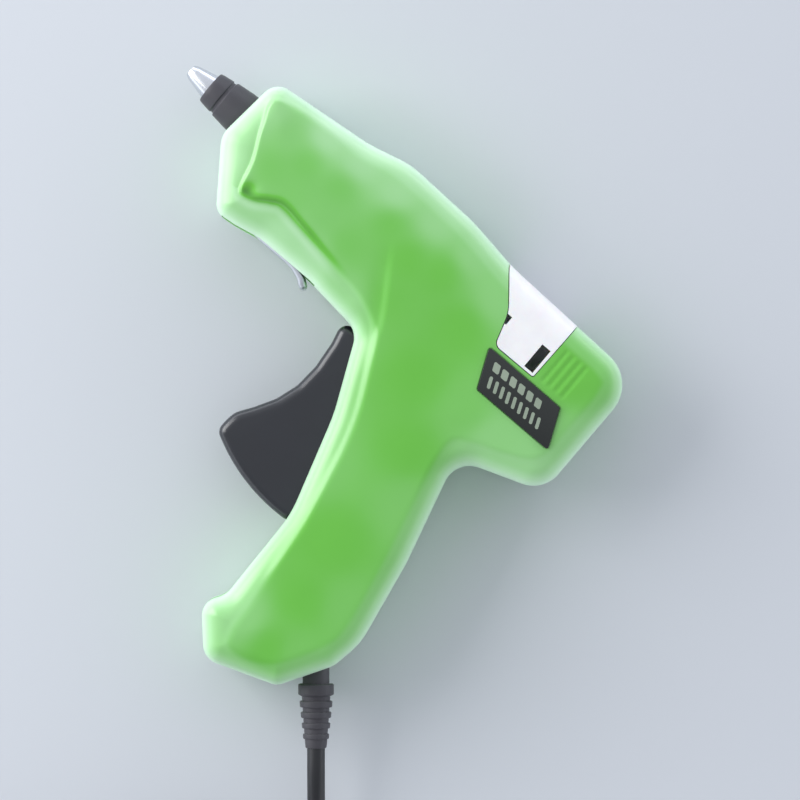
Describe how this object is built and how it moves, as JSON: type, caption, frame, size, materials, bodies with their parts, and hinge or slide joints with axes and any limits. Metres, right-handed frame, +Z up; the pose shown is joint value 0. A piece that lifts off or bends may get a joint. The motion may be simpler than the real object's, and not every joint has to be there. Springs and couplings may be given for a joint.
{
  "type": "hot glue gun",
  "caption": "Corded hot-glue gun for 11 mm sticks: two-part housing, heated nozzle, lever trigger with sliding stick feed, fold-out wire stand, mains lead and plug.",
  "frame": {"origin": "on the flat of the housing's right side, straight under the stick axis and 104.5 mm behind the nozzle's tip, where the gun lies on its side", "axes": "+X along the stick axis from the nozzle to the stick inlet, +Y from the handle to the top of the barrel, +Z up, from the gun's right side to its left side"},
  "size_m": [0.234, 0.3034, 0.0351],
  "materials": {
    "green_abs": "moulded lime-green plastic, fine satin gloss",
    "black_abs": "moulded black plastic, satin",
    "badge_black": "printed badge, gloss",
    "window_white": "milky translucent plastic, gloss",
    "black_rubber": "black rubber, matt",
    "red_silicone": "silicone rubber, satin",
    "cord_pvc": "black PVC, satin",
    "wire_insulation": "wire sleeve, satin",
    "nozzle_metal": "machined, bright",
    "aluminium": "die cast",
    "steel": "bright zinc plated",
    "pin_nickel": "nickel plated",
    "brass": "stamped strip",
    "ceramic": "sintered ceramic, matt",
    "nylon": "natural nylon"
  },
  "bodies": {
    "housing": {"left_shell": "green_abs", "right_shell": "green_abs", "badge": "badge_black", "stick_window": "window_white", "housing_screw_nose_top": "steel", "housing_screw_nose_bottom": "steel", "housing_screw_rear_top": "steel", "housing_screw_lobe": "steel", "housing_screw_handle": "steel", "housing_screw_heel": "steel", "nozzle": "nozzle_metal", "valve_spring": "steel", "nozzle_boot": "black_rubber", "melt_chamber": "aluminium", "heater_contact_upper": "brass", "heater_plate": "ceramic", "heater_contact_lower": "brass", "heater_clip": "steel", "stick_sleeve": "red_silicone", "sleeve_clamp": "steel", "return_spring": "steel", "trigger_pin": "steel", "wire_live": "wire_insulation", "wire_neutral": "wire_insulation", "cord_jacket_inside": "cord_pvc", "cord_clamp": "nylon", "clamp_screw_1": "steel", "clamp_screw_2": "steel", "strain_relief": "black_rubber", "power_cord": "cord_pvc", "cord_coil": "cord_pvc", "cord_tie": "black_abs", "cord_tail": "cord_pvc", "plug_body": "cord_pvc", "plug_pin_upper": "pin_nickel", "plug_pin_lower": "pin_nickel"},
    "carriage": {"feed_carriage": "nylon", "jaw_pin": "steel"},
    "jaw": {"grip_jaw": "steel"},
    "trigger": {"trigger": "black_abs"},
    "stand": {"wire_stand": "steel"},
    "valve": {"valve_ball": "steel"}
  },
  "joints": [
    {"name": "trigger_squeeze", "type": "hinge", "parent": "housing", "child": "trigger", "pos_m": [0.012, -0.031, 0.0175], "axis": [0, 0, 1], "range_deg": [0, 28], "stiffness_Nm_per_rad": 0.6, "springref_deg": -11.46},
    {"name": "carriage_feed", "type": "slide", "parent": "housing", "child": "carriage", "axis": [-1, 0, 0], "range_m": [0, 0.0116], "deforming": ["return_spring"]},
    {"name": "jaw_bite", "type": "hinge", "parent": "carriage", "child": "jaw", "pos_m": [0.019, -0.0124, 0.0175], "axis": [0, 0, -1], "range_deg": [0, 7.2]},
    {"name": "stand_fold", "type": "hinge", "parent": "housing", "child": "stand", "pos_m": [-0.059, -0.0246, 0.0175], "axis": [0, 0, -1], "range_deg": [0, 88]},
    {"name": "valve_lift", "type": "slide", "parent": "housing", "child": "valve", "axis": [-1, 0, 0], "range_m": [0, 0.001], "stiffness_N_per_m": 20, "springref_m": -0.0005, "deforming": ["valve_spring"]}
  ],
  "couplings": [
    {"joint": "carriage_feed", "follows": "trigger_squeeze", "m_per_rad": 0.0235},
    {"joint": "jaw_bite", "follows": "trigger_squeeze", "ratio": 0.25}
  ]
}
